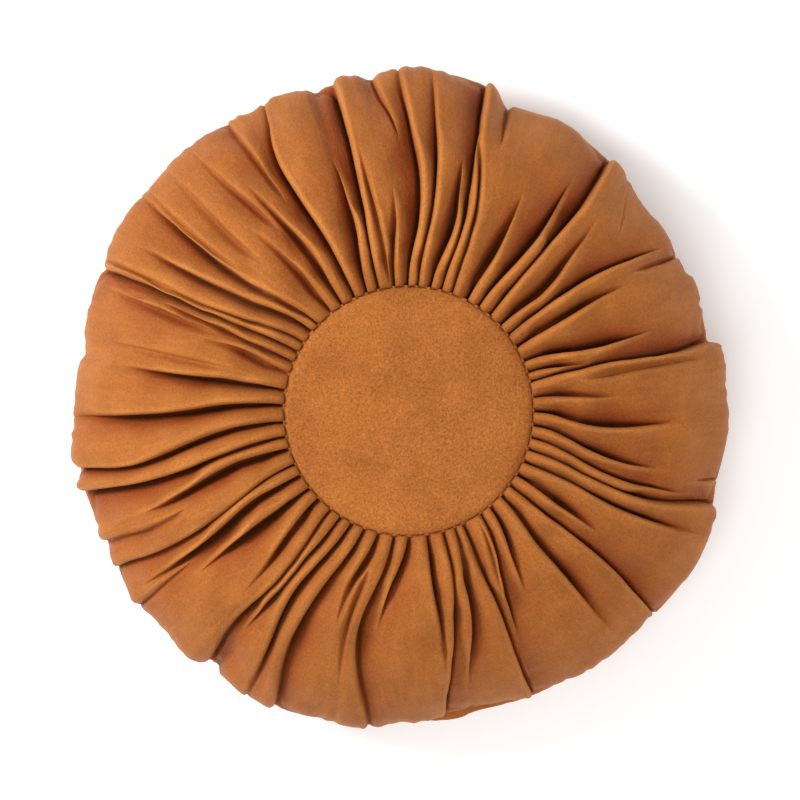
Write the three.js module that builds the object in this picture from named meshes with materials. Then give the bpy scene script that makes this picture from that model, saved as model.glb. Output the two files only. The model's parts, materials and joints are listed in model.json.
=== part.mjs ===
// A round velvet throw pillow, lying on its back with its gathered face up.
//
// The face is a flat centre disc with a wide gathered ring round it. The back is one plain round
// panel. The ring and its filling are one solid: the disc sits in a shallow recess on top of it,
// and the back panel is a shallow dish under it, sewn to the ring along the outer seam.
//
// Units are millimetres and degrees, and +Z is up. A point of the ring is placed by its angle
// round the pillow and by its reach: 0 on the disc seam and 1 on the nominal outline. The two
// circles have different centres, because the disc sits a little low and to the right.

import * as THREE from "three";

// Driving dimensions, mm
const OUTLINE_RADIUS = 202.6;
const OUTLINE_CENTRE = { x: -4.3, y: 8.9 };
const DISC_RADIUS = 76.4;
const SEAM_CLEARANCE = 0.3;
const SHEET_THICKNESS = 2.2;
const PIECE_GAP = 0.4;
const DISC_CROWN = 1.6;
const DISC_EDGE_HEIGHT = 114.2;
const FOLD_DEPTH = 10.5;
const SEAM_HEIGHT = 40;
const SEAM_INSET = 3.4;
const SEAM_ROLL = { share: 0.5, bulge: 1.1 };

// Where the back shows past the front, low on the right: how far it swells beyond the outer seam
const PEEK = { angle: 283, halfWidth: 15, bulge: 4.6 };
const BACK_BULGE = 1.0;
const BULGE_FULL_BELOW = 34;
const BULGE_GONE_BELOW = 20;

// Mesh density
const PLAIN_COLUMNS = 72;
const COLUMNS_PER_FOLD = 4;
const LEAST_COLUMN_STEP = 0.28;

// The crown over the ring, from the disc seam to the widest line: reach and height at the fold tops
const CROWN = [
  { reach: 0.0, height: 113.4 },
  { reach: 0.04, height: 116.6 },
  { reach: 0.11, height: 119.0 },
  { reach: 0.22, height: 118.6 },
  { reach: 0.36, height: 114.6 },
  { reach: 0.5, height: 108.0 },
  { reach: 0.63, height: 99.6 },
  { reach: 0.75, height: 89.6 },
  { reach: 0.85, height: 78.8 },
  { reach: 0.93, height: 67.0 },
  { reach: 0.98, height: 57.5 },
  { reach: 1.0, height: 50.0 },
];

// The back from the outer seam to the flat on which the pillow rests: share of the outline's
// radius, and height
const BACK = [
  { share: 1.0, height: SEAM_HEIGHT },
  { share: 1.0, height: 34.0 },
  { share: 0.982, height: 26.0 },
  { share: 0.94, height: 17.5 },
  { share: 0.87, height: 9.5 },
  { share: 0.77, height: 3.4 },
  { share: 0.67, height: 0.6 },
  { share: 0.6, height: 0.0 },
];

// The uneven outline, with its hollows left to the folds: angle, and reach of the fold tops there
const OUTLINE = [
  { angle: 0, reach: 0.985 },
  { angle: 8, reach: 0.965 },
  { angle: 16, reach: 0.935 },
  { angle: 35, reach: 0.92 },
  { angle: 52, reach: 0.95 },
  { angle: 66, reach: 0.935 },
  { angle: 77, reach: 0.99 },
  { angle: 95, reach: 1.0 },
  { angle: 108, reach: 0.978 },
  { angle: 125, reach: 0.998 },
  { angle: 150, reach: 1.003 },
  { angle: 162, reach: 1.0 },
  { angle: 172, reach: 0.96 },
  { angle: 185, reach: 1.01 },
  { angle: 198, reach: 1.03 },
  { angle: 207, reach: 1.018 },
  { angle: 220, reach: 1.038 },
  { angle: 233, reach: 1.036 },
  { angle: 250, reach: 1.042 },
  { angle: 261, reach: 1.02 },
  { angle: 268, reach: 1.02 },
  { angle: 276, reach: 0.985 },
  { angle: 287, reach: 0.975 },
  { angle: 298, reach: 1.008 },
  { angle: 310, reach: 1.012 },
  { angle: 325, reach: 1.045 },
  { angle: 338, reach: 1.045 },
  { angle: 350, reach: 1.005 },
];

// The gathers, anticlockwise from the right. The first five columns are the angle of the crease
// at reach 0, 0.25, 0.5, 0.75 and 1. The crease is open between its start and its end reach,
// depth is a share of FOLD_DEPTH, and floor is the width of its flat bottom in degrees.
const FOLD_COLUMNS = ["seam", "quarter", "half", "late", "rim", "start", "end", "depth", "floor"];
const FOLD_ROWS = [
  [1.0, -5.2, -5.8, -4.2, -3.0, 0, 0.68, 0.8, 1.2],
  [7.0, 3.5, 2.5, 2.8, 3.4, 0, 0.42, 0.5, 0.5],
  [10.2, 8.6, 8.3, 8.0, 7.6, 0.28, 0.88, 0.25, 1.0],
  [13.8, 12.6, 11.2, 10.1, 10.5, 0, 1, 0.9, 0.6],
  [19.0, 14.8, 13.6, 13.2, 13.6, 0, 0.3, 0.8, 0.6],
  [24.4, 19.0, 16.8, 16.8, 17.0, 0, 0.68, 0.8, 0.8],
  [31.2, 29.3, 29.0, 26.8, 24.5, 0, 0.58, 0.7, 3.0],
  [34.5, 32.9, 31.4, 29.2, 27.0, 0.7, 1, 0.4, 0.5],
  [37.8, 36.5, 34.4, 32.2, 31.0, 0, 0.88, 0.9, 0.8],
  [44.0, 40.4, 42.5, 43.0, 43.5, 0, 0.6, 0.7, 3.0],
  [50.0, 49.0, 48.1, 47.6, 48.8, 0, 1, 1.0, 0.8],
  [57.0, 53.6, 51.9, 52.8, 53.8, 0, 0.76, 1.0, 1.0],
  [63.0, 60.2, 60.5, 61.0, 61.5, 0, 0.52, 0.7, 3.0],
  [70.2, 69.7, 70.5, 71.6, 69.8, 0, 0.66, 0.6, 0.5],
  [75.4, 72.8, 73.1, 74.1, 75.0, 0, 1, 0.85, 0.8],
  [81.0, 75.9, 76.0, 78.0, 79.2, 0, 0.62, 0.9, 1.6],
  [86.5, 83.4, 82.2, 83.6, 84.7, 0, 0.92, 0.9, 0.8],
  [91.4, 87.5, 86.8, 88.9, 90.8, 0, 0.95, 1.0, 0.8],
  [94.2, 90.8, 90.0, 92.0, 95.8, 0.65, 1, 0.4, 0.5],
  [97.0, 94.0, 93.8, 96.4, 98.5, 0, 0.44, 0.5, 2.0],
  [104.2, 103.0, 102.6, 102.1, 103.0, 0, 1, 0.9, 0.8],
  [110.0, 106.7, 106.1, 106.8, 107.5, 0, 0.65, 0.6, 0.8],
  [115.7, 115.3, 117.1, 118.0, 116.5, 0, 0.97, 0.8, 0.8],
  [119.2, 118.8, 120.4, 122.0, 123.5, 0.55, 1, 0.35, 0.5],
  [122.0, 121.8, 124.2, 126.3, 127.5, 0, 0.64, 0.4, 0.5],
  [124.8, 124.4, 127.6, 130.3, 131.0, 0.1, 0.88, 0.4, 1.0],
  [128.2, 128.5, 131.0, 133.5, 134.5, 0, 0.46, 0.35, 1.0],
  [132.0, 134.5, 137.3, 137.2, 137.0, 0.5, 0.9, 0.25, 0.5],
  [135.3, 140.2, 143.0, 143.0, 142.7, 0, 0.95, 0.75, 0.6],
  [139.8, 145.0, 148.4, 149.4, 150.0, 0, 0.74, 0.9, 0.8],
  [146.0, 151.0, 153.6, 153.9, 154.4, 0, 0.8, 0.7, 0.4],
  [151.4, 153.6, 155.4, 155.4, 156.2, 0, 1, 0.85, 0.6],
  [157.2, 157.3, 158.3, 158.8, 159.4, 0, 0.72, 0.6, 2.4],
  [163.0, 161.6, 163.4, 165.0, 165.8, 0, 0.42, 0.4, 1.0],
  [170.4, 172.0, 172.9, 173.4, 173.8, 0, 0.74, 0.9, 2.2],
  [177.0, 179.6, 182.6, 183.5, 183.6, 0, 0.95, 1.0, 2.0],
  [184.6, 187.7, 191.0, 193.6, 192.5, 0, 1, 0.9, 1.6],
  [191.3, 194.8, 197.0, 197.8, 196.8, 0, 1, 1.0, 2.0],
  [197.7, 199.0, 202.3, 203.6, 203.0, 0, 0.74, 0.8, 2.2],
  [201.2, 203.8, 206.8, 208.6, 206.6, 0.56, 1, 0.5, 0.5],
  [204.3, 208.6, 211.6, 212.3, 211.0, 0, 1, 0.9, 0.4],
  [210.8, 213.0, 215.2, 216.0, 215.6, 0, 0.9, 1.0, 1.2],
  [214.4, 216.0, 217.6, 218.2, 219.0, 0.58, 1, 0.35, 0.5],
  [217.8, 218.9, 220.2, 221.4, 222.6, 0, 0.64, 1.0, 2.0],
  [223.5, 227.0, 229.6, 229.6, 230.0, 0, 0.48, 1.0, 2.6],
  [231.3, 234.0, 234.0, 232.8, 234.2, 0, 1, 0.9, 0.8],
  [237.8, 236.9, 236.6, 235.7, 237.0, 0, 0.8, 0.8, 0.8],
  [243.7, 241.0, 240.0, 241.7, 242.8, 0, 0.97, 1.0, 1.0],
  [250.2, 246.8, 245.2, 245.4, 248.0, 0, 1, 1.0, 1.0],
  [257.0, 253.0, 253.4, 254.4, 255.6, 0, 0.5, 0.7, 1.0],
  [260.4, 255.9, 256.2, 257.2, 259.2, 0.28, 0.72, 0.3, 1.0],
  [264.0, 261.2, 258.9, 261.0, 264.5, 0, 1, 0.9, 1.0],
  [271.2, 266.2, 263.8, 265.2, 268.4, 0, 0.5, 0.8, 1.0],
  [278.8, 278.0, 277.8, 276.6, 273.6, 0, 0.66, 0.8, 1.2],
  [286.0, 285.2, 283.0, 280.7, 277.6, 0, 1, 0.9, 1.2],
  [292.2, 289.4, 287.8, 284.6, 282.8, 0, 0.92, 0.7, 2.0],
  [296.0, 294.8, 294.8, 294.0, 293.6, 0, 1, 0.8, 1.0],
  [301.0, 299.4, 296.4, 295.8, 295.6, 0.1, 0.5, 0.35, 0.5],
  [306.0, 301.6, 298.0, 297.4, 297.6, 0, 0.72, 0.7, 0.6],
  [311.5, 306.3, 303.4, 304.0, 305.0, 0, 0.46, 0.8, 1.6],
  [318.5, 314.7, 314.4, 313.5, 312.6, 0, 0.84, 0.7, 1.0],
  [324.3, 322.6, 322.0, 321.2, 319.4, 0, 1, 0.7, 0.8],
  [330.2, 327.6, 327.6, 327.6, 327.2, 0, 0.52, 0.7, 1.8],
  [336.7, 335.0, 334.0, 334.8, 335.8, 0, 0.9, 0.9, 0.8],
  [342.7, 340.0, 338.0, 338.8, 340.2, 0, 0.95, 0.9, 0.8],
  [348.8, 344.5, 341.5, 341.6, 342.6, 0, 0.9, 0.8, 0.8],
  [351.6, 346.6, 344.0, 344.6, 345.5, 0.84, 1, 0.4, 0.5],
  [354.6, 349.2, 347.0, 348.6, 349.6, 0, 0.68, 0.7, 1.2],
];

// The rows of the ring's face, as reach
const FACE_ROWS = [0, 0.025, 0.07, 0.14, 0.22, 0.31, 0.41, 0.51, 0.61, 0.71, 0.8, 0.88, 0.94, 0.98, 1];

// How a crease grows away from the seam, and how it sinks and rises across its width, mm
const CREASE_OPENS_BY = 0.11;
const CREASE_SHARE_AT_SEAM = 0.22;
const CREASE_EASES_FROM = 0.55;
const CREASE_SHARE_AT_RIM = 0.55;
const CREASE_FADE = 0.16;
const STEEP_SIDE = 3.2;
const LONG_SIDE = 15;
const LONG_SIDE_SHARE_AT_SEAM = 0.45;
const LONG_SIDE_FULL_AT = 0.5;

// The outline's unevenness begins at this reach. A slope is measured over twice the slope step.
const UNEVEN_FROM = 0.35;
const SLOPE_STEP = 0.004;

// The lip before a crease takes at most this share of the width between two creases
const LARGEST_LIP_SHARE = 0.35;

const FULL_TURN = 360;
const folds = FOLD_ROWS.map((row) => Object.fromEntries(FOLD_COLUMNS.map((name, k) => [name, row[k]])));

const radians = (degrees) => (degrees * Math.PI) / 180;
const lerp = (a, b, t) => a + (b - a) * t;
const smooth = (a, b, x) => THREE.MathUtils.smoothstep(x, a, b);
const nearestTurn = (a, b) => Math.round((a - b) / FULL_TURN) * FULL_TURN;
const turnBetween = (a, b) => a - b - nearestTurn(a, b);

// A smooth curve through the rows of a table, read at x. The slopes at the rows are kept small
// enough that the curve never swings past them.
function readCurve(xs, ys, x) {
  const last = xs.length - 1;
  const at = Math.min(Math.max(x, xs[0]), xs[last]);
  let k = 0;
  while (k < last - 1 && at > xs[k + 1]) k += 1;
  const step = (j) => (ys[j + 1] - ys[j]) / (xs[j + 1] - xs[j]);
  const slope = (j) => {
    if (j === 0) return step(0);
    if (j === last) return step(last - 1);
    const before = step(j - 1);
    const after = step(j);
    return before * after <= 0 ? 0 : (2 * before * after) / (before + after);
  };
  const width = xs[k + 1] - xs[k];
  const t = (at - xs[k]) / width;
  const ease = t * t * (3 - 2 * t);
  const rise = t * (1 - t) * (1 - t) * slope(k) - t * t * (1 - t) * slope(k + 1);
  return lerp(ys[k], ys[k + 1], ease) + rise * width;
}

const crownReaches = CROWN.map((row) => row.reach);
const crownHeights = CROWN.map((row) => row.height);
const crownHeight = (reach) => readCurve(crownReaches, crownHeights, reach);

const wrappedOutline = [-1, 0, 1].flatMap((turn) =>
  OUTLINE.map((row) => ({ angle: row.angle + turn * FULL_TURN, reach: row.reach })),
);
const outlineAngles = wrappedOutline.map((row) => row.angle);
const outlineReaches = wrappedOutline.map((row) => row.reach);
const outlineReach = (angle) => readCurve(outlineAngles, outlineReaches, angle);

const CREASE_STATIONS = [0, 0.25, 0.5, 0.75, 1];
const creaseAngle = (fold, reach) =>
  readCurve(CREASE_STATIONS, [fold.seam, fold.quarter, fold.half, fold.late, fold.rim], reach);

// How deep a crease is at a reach, mm
function creaseDepth(fold, reach) {
  const opening = lerp(CREASE_SHARE_AT_SEAM, 1, smooth(0, CREASE_OPENS_BY, reach));
  const easing = lerp(1, CREASE_SHARE_AT_RIM, smooth(CREASE_EASES_FROM, 1, reach));
  const begun = fold.start > 0 ? smooth(fold.start, fold.start + CREASE_FADE, reach) : 1;
  const left = fold.end < 1 ? 1 - smooth(fold.end - CREASE_FADE, fold.end + CREASE_FADE / 4, reach) : 1;
  return FOLD_DEPTH * fold.depth * opening * easing * begun * left;
}

// A point of the plan, on the line between the two circles' points at the same angle
function planPoint(angle, reach) {
  const across = Math.cos(radians(angle));
  const up = Math.sin(radians(angle));
  const seamRadius = DISC_RADIUS + SEAM_CLEARANCE;
  return {
    x: lerp(seamRadius * across, OUTLINE_CENTRE.x + OUTLINE_RADIUS * across, reach),
    y: lerp(seamRadius * up, OUTLINE_CENTRE.y + OUTLINE_RADIUS * up, reach),
  };
}

const millimetresPerDegree = (reach) => radians(1) * lerp(DISC_RADIUS, OUTLINE_RADIUS, reach);

// How far the face lies under the fold tops: the deepest of the creases near the angle. Each
// crease falls steeply on its clockwise side and rises slowly on its anticlockwise side.
function sinking(angle, reach) {
  const scale = millimetresPerDegree(reach);
  const longSide = LONG_SIDE * lerp(LONG_SIDE_SHARE_AT_SEAM, 1, smooth(0, LONG_SIDE_FULL_AT, reach));
  let deepest = 0;
  for (const fold of folds) {
    const across = turnBetween(angle, creaseAngle(fold, reach)) * scale;
    const floor = fold.floor * scale;
    const left = across < 0 ? smooth(0, STEEP_SIDE, -across) : smooth(floor / 2, floor + longSide, across);
    deepest = Math.max(deepest, creaseDepth(fold, reach) * (1 - left));
  }
  return deepest;
}

// The face of the ring at an angle and a reach, sunk along its own normal
function facePoint(angle, reach) {
  const stretch = lerp(1, outlineReach(angle), smooth(UNEVEN_FROM, 1, reach));
  const plan = planPoint(angle, reach * stretch);
  const inner = Math.max(reach - SLOPE_STEP, 0);
  const outer = Math.min(reach + SLOPE_STEP, 1);
  const run = (outer - inner) * (OUTLINE_RADIUS - DISC_RADIUS);
  const drop = crownHeight(inner) - crownHeight(outer);
  const length = Math.hypot(run, drop);
  const sunk = sinking(angle, reach);
  return new THREE.Vector3(
    plan.x - (sunk * drop / length) * Math.cos(radians(angle)),
    plan.y - (sunk * drop / length) * Math.sin(radians(angle)),
    crownHeight(reach) - (sunk * run) / length,
  );
}

// The angles of the ring's columns at a reach: a few for each fold, from its crease to the lip
// just before the next crease, kept in order where creases run together
function faceAngles(reach) {
  const starts = folds.map((fold) => creaseAngle(fold, reach));
  const lipBefore = STEEP_SIDE / millimetresPerDegree(reach);
  const angles = [];
  folds.forEach((fold, k) => {
    const next = k + 1 < folds.length ? starts[k + 1] : starts[0] + FULL_TURN;
    const gap = next - starts[k];
    const lip = gap - Math.min(lipBefore, gap * LARGEST_LIP_SHARE);
    for (let c = 0; c < COLUMNS_PER_FOLD; c += 1) {
      angles.push(starts[k] + (lip * c) / (COLUMNS_PER_FOLD - 1));
    }
  });
  for (let k = 1; k < angles.length; k += 1) {
    angles[k] = Math.max(angles[k], angles[k - 1] + LEAST_COLUMN_STEP);
  }
  return angles;
}

// A loop of a skin is a list of points with their angles
const plainAngles = Array.from({ length: PLAIN_COLUMNS }, (_, k) => (k * FULL_TURN) / PLAIN_COLUMNS);
const loopOf = (angles, point) => angles.map((angle) => ({ angle, point: point(angle) }));

function nearestEntry(loop, angle) {
  const apart = loop.map((entry) => Math.abs(turnBetween(angle, entry.angle)));
  return apart.indexOf(Math.min(...apart));
}

// The triangles between two loops. Loops of the same length are joined column by column, each
// four points split along the shorter diagonal. Other loops advance whichever one is behind.
function joinLoops(upper, upperBase, lower, lowerBase, triangles) {
  const alike = upper.length === lower.length;
  const start = alike ? 0 : nearestEntry(lower, upper[0].angle);
  const shift = alike ? 0 : nearestTurn(upper[0].angle, lower[start].angle);
  const around = (loop, k) => loop[k % loop.length];
  const turned = (loop, k) => around(loop, k).angle + FULL_TURN * Math.floor(k / loop.length);
  const diagonal = (i, j) => around(upper, i).point.distanceTo(around(lower, j).point);
  let i = 0;
  let j = 0;
  while (i < upper.length || j < lower.length) {
    let stepUpper = turned(upper, i + 1) <= turned(lower, start + j + 1) + shift;
    if (alike) stepUpper = i < j || (i === j && diagonal(i + 1, j) < diagonal(i, j + 1));
    if (i >= upper.length) stepUpper = false;
    if (j >= lower.length) stepUpper = true;
    const a = upperBase + (i % upper.length);
    const b = lowerBase + ((start + j) % lower.length);
    if (stepUpper) {
      i += 1;
      triangles.push(a, b, upperBase + (i % upper.length));
    } else {
      j += 1;
      triangles.push(a, b, lowerBase + ((start + j) % lower.length));
    }
  }
}

// A closed skin from a top point, over its loops in order, to a bottom point
function closedSkin(top, loops, bottom) {
  const positions = [top.x, top.y, top.z];
  const bases = [];
  for (const loop of loops) {
    bases.push(positions.length / 3);
    for (const { point } of loop) positions.push(point.x, point.y, point.z);
  }
  const bottomIndex = positions.length / 3;
  positions.push(bottom.x, bottom.y, bottom.z);
  const triangles = [];
  const first = loops[0];
  first.forEach((_, k) => triangles.push(0, bases[0] + k, bases[0] + ((k + 1) % first.length)));
  for (let k = 1; k < loops.length; k += 1) {
    joinLoops(loops[k - 1], bases[k - 1], loops[k], bases[k], triangles);
  }
  const last = loops[loops.length - 1];
  const lastBase = bases[loops.length - 1];
  last.forEach((_, k) => triangles.push(bottomIndex, lastBase + ((k + 1) % last.length), lastBase + k));
  const geometry = new THREE.BufferGeometry();
  geometry.setAttribute("position", new THREE.Float32BufferAttribute(positions, 3));
  geometry.setIndex(triangles);
  geometry.computeVertexNormals();
  return geometry;
}

// The centre disc and its recess share one gentle dome
const DISC_LOOPS = [0.5, 0.82];
const LIP_STEP = 0.8;
const domeHeight = (share) => DISC_EDGE_HEIGHT + DISC_CROWN * (1 - share * share);
const discPoint = (share, drop, inset) => (angle) =>
  new THREE.Vector3(
    (DISC_RADIUS * share - inset) * Math.cos(radians(angle)),
    (DISC_RADIUS * share - inset) * Math.sin(radians(angle)),
    domeHeight(share) - drop,
  );

// The outer face of the back, and the same face moved inward by a thickness
const backShares = BACK.map((row) => row.share);
const backHeights = BACK.map((row) => row.height);

const outlineRadius = (angle) => lerp(DISC_RADIUS, OUTLINE_RADIUS, outlineReach(angle));

function backRadius(angle, row) {
  const height = backHeights[row];
  const peek = PEEK.bulge * (1 - smooth(0, PEEK.halfWidth, Math.abs(turnBetween(angle, PEEK.angle))));
  const over = 1 - smooth(BULGE_FULL_BELOW, SEAM_HEIGHT, height);
  const under = smooth(0, BULGE_GONE_BELOW, height);
  return (outlineRadius(angle) - SEAM_INSET) * backShares[row] + (BACK_BULGE + peek) * over * under;
}

// A point of the back's outer face, or of the same face moved inward: level at the outer seam,
// straight up from the flat that the pillow rests on, and along the face's own normal between
function backPoint(angle, row, inward) {
  const first = row === 0;
  const last = row === BACK.length - 1;
  const before = first ? row : row - 1;
  const after = last ? row : row + 1;
  const widening = backRadius(angle, before) - backRadius(angle, after);
  const fall = backHeights[before] - backHeights[after];
  const length = Math.hypot(widening, fall);
  let towardAxis = (inward * fall) / length;
  let upward = (inward * widening) / length;
  if (first) {
    towardAxis = (inward * length) / fall;
    upward = 0;
  }
  if (last) {
    towardAxis = 0;
    upward = inward;
  }
  const radius = backRadius(angle, row) - towardAxis;
  return new THREE.Vector3(
    OUTLINE_CENTRE.x + radius * Math.cos(radians(angle)),
    OUTLINE_CENTRE.y + radius * Math.sin(radians(angle)),
    backHeights[row] + upward,
  );
}

const backLoop = (row, inward) => loopOf(plainAngles, (angle) => backPoint(angle, row, inward));
const backCentre = (height) => new THREE.Vector3(OUTLINE_CENTRE.x, OUTLINE_CENTRE.y, height);

// The gathered ring with its filling: recess, face, outer seam and underside
function gatheredRing() {
  const inward = SHEET_THICKNESS + PIECE_GAP;
  const recess = [...DISC_LOOPS, 1].map((share) => loopOf(plainAngles, discPoint(share, inward, 0)));
  const recessLip = loopOf(plainAngles, discPoint(1, DISC_EDGE_HEIGHT - crownHeight(0) + LIP_STEP, 0));
  const face = FACE_ROWS.map((reach) => loopOf(faceAngles(reach), (angle) => facePoint(angle, reach)));
  const rimAngles = faceAngles(1);
  const seamPoint = (angle) => backPoint(angle, 0, 0).setZ(SEAM_HEIGHT + PIECE_GAP + LIP_STEP);
  const rolled = loopOf(rimAngles, (angle) => {
    const outward = new THREE.Vector3(Math.cos(radians(angle)), Math.sin(radians(angle)), 0);
    const between = facePoint(angle, 1).lerp(seamPoint(angle), SEAM_ROLL.share);
    return between.addScaledVector(outward, SEAM_ROLL.bulge);
  });
  const seam = loopOf(rimAngles, seamPoint);
  const shelfInward = inward + PIECE_GAP;
  const shelf = loopOf(plainAngles, (angle) =>
    backPoint(angle, 0, shelfInward).setZ(SEAM_HEIGHT + PIECE_GAP),
  );
  const underside = BACK.slice(1).map((_, k) => backLoop(k + 1, inward));
  return closedSkin(
    new THREE.Vector3(0, 0, domeHeight(0) - inward),
    [...recess, recessLip, ...face, rolled, seam, shelf, ...underside],
    backCentre(inward),
  );
}

function centreDisc() {
  const upper = [...DISC_LOOPS, 1].map((share) =>
    loopOf(plainAngles, discPoint(share, 0, share === 1 ? PIECE_GAP : 0)),
  );
  const lower = [1, ...DISC_LOOPS.toReversed()].map((share) =>
    loopOf(plainAngles, discPoint(share, SHEET_THICKNESS, share === 1 ? PIECE_GAP : 0)),
  );
  return closedSkin(
    new THREE.Vector3(0, 0, domeHeight(0)),
    [...upper, ...lower],
    new THREE.Vector3(0, 0, domeHeight(0) - SHEET_THICKNESS),
  );
}

function backPanel() {
  const rows = BACK.map((_, k) => k);
  const inner = rows.toReversed().map((row) => backLoop(row, SHEET_THICKNESS));
  const outer = rows.map((row) => backLoop(row, 0));
  return closedSkin(backCentre(SHEET_THICKNESS), [...inner, ...outer], backCentre(0));
}

const VELVET = { roughness: 0.9, metalness: 0 };
const pieces = [
  { name: "gathered_ring", geometry: gatheredRing(), color: "#b8702f" },
  { name: "centre_disc", geometry: centreDisc(), color: "#b97038" },
  { name: "back_panel", geometry: backPanel(), color: "#a8652e" },
];

// The pillow stands with the middle of its outline over the origin
const extent = new THREE.Box3();
for (const { geometry } of pieces) {
  geometry.computeBoundingBox();
  extent.union(geometry.boundingBox);
}
const middle = extent.getCenter(new THREE.Vector3());

const group = new THREE.Group();
for (const { name, geometry, color } of pieces) {
  geometry.translate(-middle.x, -middle.y, -extent.min.z);
  const mesh = new THREE.Mesh(geometry, new THREE.MeshStandardMaterial({ color, ...VELVET }));
  mesh.name = name;
  group.add(mesh);
}

export default group;
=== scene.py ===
"""A round velvet throw pillow with a gathered ring, seen from straight above.

The shapes are worked out in millimetres from the driving sizes and the tables below, and put in
place in metres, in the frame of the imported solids.
"""

import json
import math

import bpy
import numpy as np
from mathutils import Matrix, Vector

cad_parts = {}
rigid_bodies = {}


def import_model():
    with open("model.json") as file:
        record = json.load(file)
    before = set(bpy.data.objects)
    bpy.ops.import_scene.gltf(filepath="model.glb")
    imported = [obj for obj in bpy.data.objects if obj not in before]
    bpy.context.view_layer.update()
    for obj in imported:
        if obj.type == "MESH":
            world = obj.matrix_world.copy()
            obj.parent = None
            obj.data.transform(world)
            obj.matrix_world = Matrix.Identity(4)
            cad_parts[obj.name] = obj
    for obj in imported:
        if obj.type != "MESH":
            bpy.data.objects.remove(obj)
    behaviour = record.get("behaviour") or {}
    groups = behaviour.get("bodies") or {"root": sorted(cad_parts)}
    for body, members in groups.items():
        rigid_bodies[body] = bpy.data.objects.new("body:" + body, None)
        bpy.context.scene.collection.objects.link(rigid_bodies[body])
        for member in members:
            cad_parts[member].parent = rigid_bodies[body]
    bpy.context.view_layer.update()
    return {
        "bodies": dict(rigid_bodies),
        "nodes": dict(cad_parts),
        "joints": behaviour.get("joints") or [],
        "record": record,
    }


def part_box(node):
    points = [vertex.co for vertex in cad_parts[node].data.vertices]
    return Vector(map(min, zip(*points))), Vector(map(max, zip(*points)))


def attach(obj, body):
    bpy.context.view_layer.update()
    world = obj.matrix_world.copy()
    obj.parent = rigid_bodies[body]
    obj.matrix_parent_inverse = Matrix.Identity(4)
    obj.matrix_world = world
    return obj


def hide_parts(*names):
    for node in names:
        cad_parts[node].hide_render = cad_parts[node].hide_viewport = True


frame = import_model()

bl_info = {
    "name": "Gathered Velvet Pillow",
    "version": (1, 0, 0),
    "blender": (4, 5, 0),
    "location": "3D View > Sidebar > Pillow",
    "description": "A round velvet throw pillow with a gathered ring round a flat centre disc",
    "category": "Add Mesh",
}

MM = 0.001
FULL_TURN = 360.0
SEED = 7

# Where the disc's centre lies in the frame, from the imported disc
DISC_LOW, DISC_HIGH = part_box("centre_disc")
DISC_CENTRE = ((Vector(DISC_LOW) + Vector(DISC_HIGH)) / 2 / MM).to_2d()

# The crown over the ring: how far along the face, its reach from the disc seam to the outline,
# and its height in mm at the fold tops. Past 1 along, the face rolls under to the outer seam.
CROWN_COLUMNS = ("along", "reach", "height")
CROWN_ROWS = (
    (0.0, 0.0, 112.4),
    (0.012, -0.003, 114.4),
    (0.026, 0.008, 115.9),
    (0.05, 0.045, 117.4),
    (0.11, 0.11, 118.6),
    (0.22, 0.22, 118.6),
    (0.36, 0.36, 114.6),
    (0.5, 0.5, 108.0),
    (0.63, 0.63, 99.6),
    (0.75, 0.75, 89.6),
    (0.85, 0.85, 78.8),
    (0.93, 0.93, 67.0),
    (0.98, 0.98, 57.5),
    (1.0, 0.998, 50.0),
    (1.03, 0.995, 44.8),
    (1.06, 0.982, 41.2),
)
ALONG_END = 1.06

# The back: share of the way from the outline's centre to the outline, and height in mm, from the
# outer seam to the flat that it rests on
BACK_COLUMNS = ("share", "height")
BACK_ROWS = (
    (0.972, 40.5),
    (0.98, 39.3),
    (0.986, 36.6),
    (0.985, 32.6),
    (0.97, 26.0),
    (0.93, 17.5),
    (0.865, 9.5),
    (0.77, 3.4),
    (0.67, 0.6),
    (0.6, 0.0),
)
BACK_LOOPS = 44
BACK_COLUMNS_AROUND = 360
CLOTH_THICKNESS = 2.0

# The back is cut flat this many times as wide as the outline, because it curves up to the seam.
# Its flat middle has loops at these shares of the way to its last row.
BACK_FLAT_SHARES = (0.8, 0.55, 0.3, 0.1)

# The back's small puckers beside the outer seam: how many round it, their depth, and how far below
# the seam they are full and fade out, mm
PUCKERS = (92, 149, 211)
PUCKER_DEPTH = 0.5
PUCKER_FULL_AT = 3.0
PUCKER_REACH = 26.0

# Where the back shows past the front: its angle and half width in degrees, its bulge, and how far
# below the seam it starts, is full, starts to fade and ends, mm
PEEK_ANGLE = 283.0
PEEK_WIDTH = 9.5
PEEK_BULGE = 5.2
PEEK_SPAN = (0.0, 5.0, 8.0, 30.0)

# The ring's closed inside under the disc: shares of the way to the seam, and height in mm. Under
# the ring: shares of the way to the outer seam, and the heights of the middle and of the edge.
INSIDE_SHARES = (0.5, 0.96)
INSIDE_HEIGHT = 111.0
UNDER_SHARES = (0.93, 0.6)
UNDER_HEIGHT = 4.0
UNDER_EDGE_HEIGHT = 22.0

# The disc: how much smaller than its seam it is cut, the height of its middle, how far it falls
# towards the edge and how its edge rolls under, mm; the shares of its radius with a loop; and the
# loops of its under side, as share and height
DISC_INSET = 0.5
DISC_TOP = 115.6
DISC_FALL = 1.2
DISC_ROLL = 1.6
DISC_ROLLS_FROM = 0.93
DISC_SHARES = (0.03, 0.1, 0.2, 0.3, 0.4, 0.5, 0.6, 0.7, 0.8, 0.88, 0.93, 0.96, 0.98, 0.992)
DISC_UNDER = ((1.0, 112.4), (0.996, 111.9), (0.97, 111.6), (0.5, 112.6))
DISC_UNDER_MIDDLE = 113.0
DISC_COLUMNS = 256

# How much of the lip's colour, a painted highlight, the pile takes on along the lips
LIP_PAINTED_HIGHLIGHT = 0.5

# The pile's tufts: their size in mm, and how strongly they show on the gathered and plain cloth
# and on the flat disc
TUFT_SIZE = 1.15
TUFT_CONTRAST = 0.17
DISC_TUFT_CONTRAST = 0.3

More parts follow.
